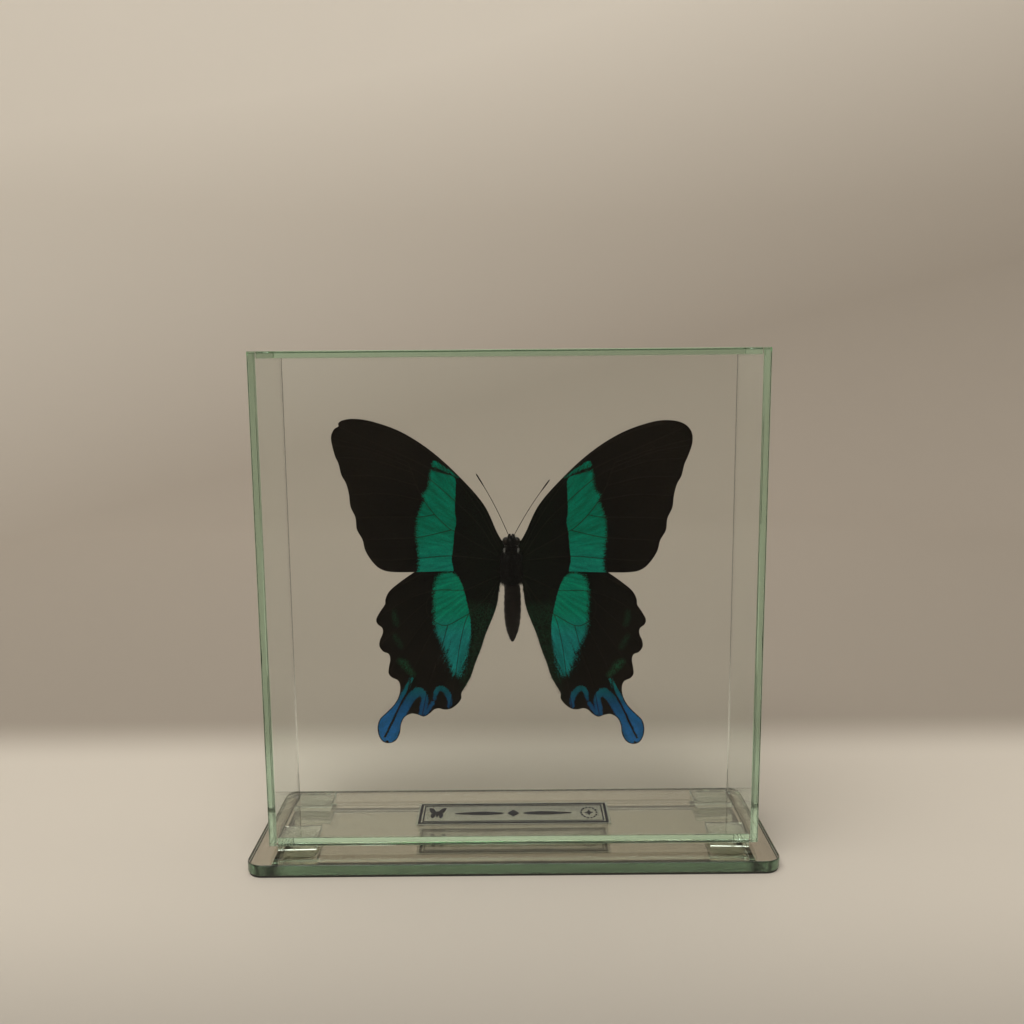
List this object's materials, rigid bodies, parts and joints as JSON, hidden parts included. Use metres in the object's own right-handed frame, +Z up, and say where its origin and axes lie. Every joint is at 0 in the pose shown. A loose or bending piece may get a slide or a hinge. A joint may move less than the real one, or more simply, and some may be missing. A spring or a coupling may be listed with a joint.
{
  "type": "mounted butterfly in glass case",
  "caption": "Green-banded swallowtail butterfly spread in a sealed square clear glass case on small glass spacers over a rounded mirror plate.",
  "frame": {"origin": "middle of the mirror plate's underside, which rests on the surface", "axes": "+X along the case's width to the right of a viewer who faces the butterfly's back, +Y away from that viewer along the case's depth, +Z up"},
  "size_m": [0.1616, 0.054, 0.1561],
  "materials": {
    "base_mirror": "silvered float glass plate with ground, deep green edges",
    "clear_glass": "thin clear float glass, green at the cut edges",
    "label_film": "clear film printed with a plain dark blue border",
    "clear_glue": "clear glue, slightly cloudy",
    "wing_scales": "velvety black scales with metallic green bands and blue tails",
    "body_chitin": "black chitin under short black hair"
  },
  "bodies": {
    "root": {"mirror_base": "base_mirror", "spacer_front_left": "clear_glass", "spacer_front_right": "clear_glass", "spacer_rear_left": "clear_glass", "spacer_rear_right": "clear_glass", "pane_front": "clear_glass", "pane_back": "clear_glass", "pane_left": "clear_glass", "pane_right": "clear_glass", "pane_top": "clear_glass", "pane_bottom": "clear_glass", "label": "label_film", "glue_dot": "clear_glue", "forewing_left": "wing_scales", "forewing_right": "wing_scales", "hindwing_left": "wing_scales", "hindwing_right": "wing_scales", "head": "body_chitin", "thorax": "body_chitin", "abdomen": "body_chitin", "antenna_left": "body_chitin", "antenna_right": "body_chitin", "leg_front_left": "body_chitin", "leg_front_right": "body_chitin", "leg_middle_left": "body_chitin", "leg_middle_right": "body_chitin", "leg_hind_left": "body_chitin", "leg_hind_right": "body_chitin"}
  },
  "joints": []
}
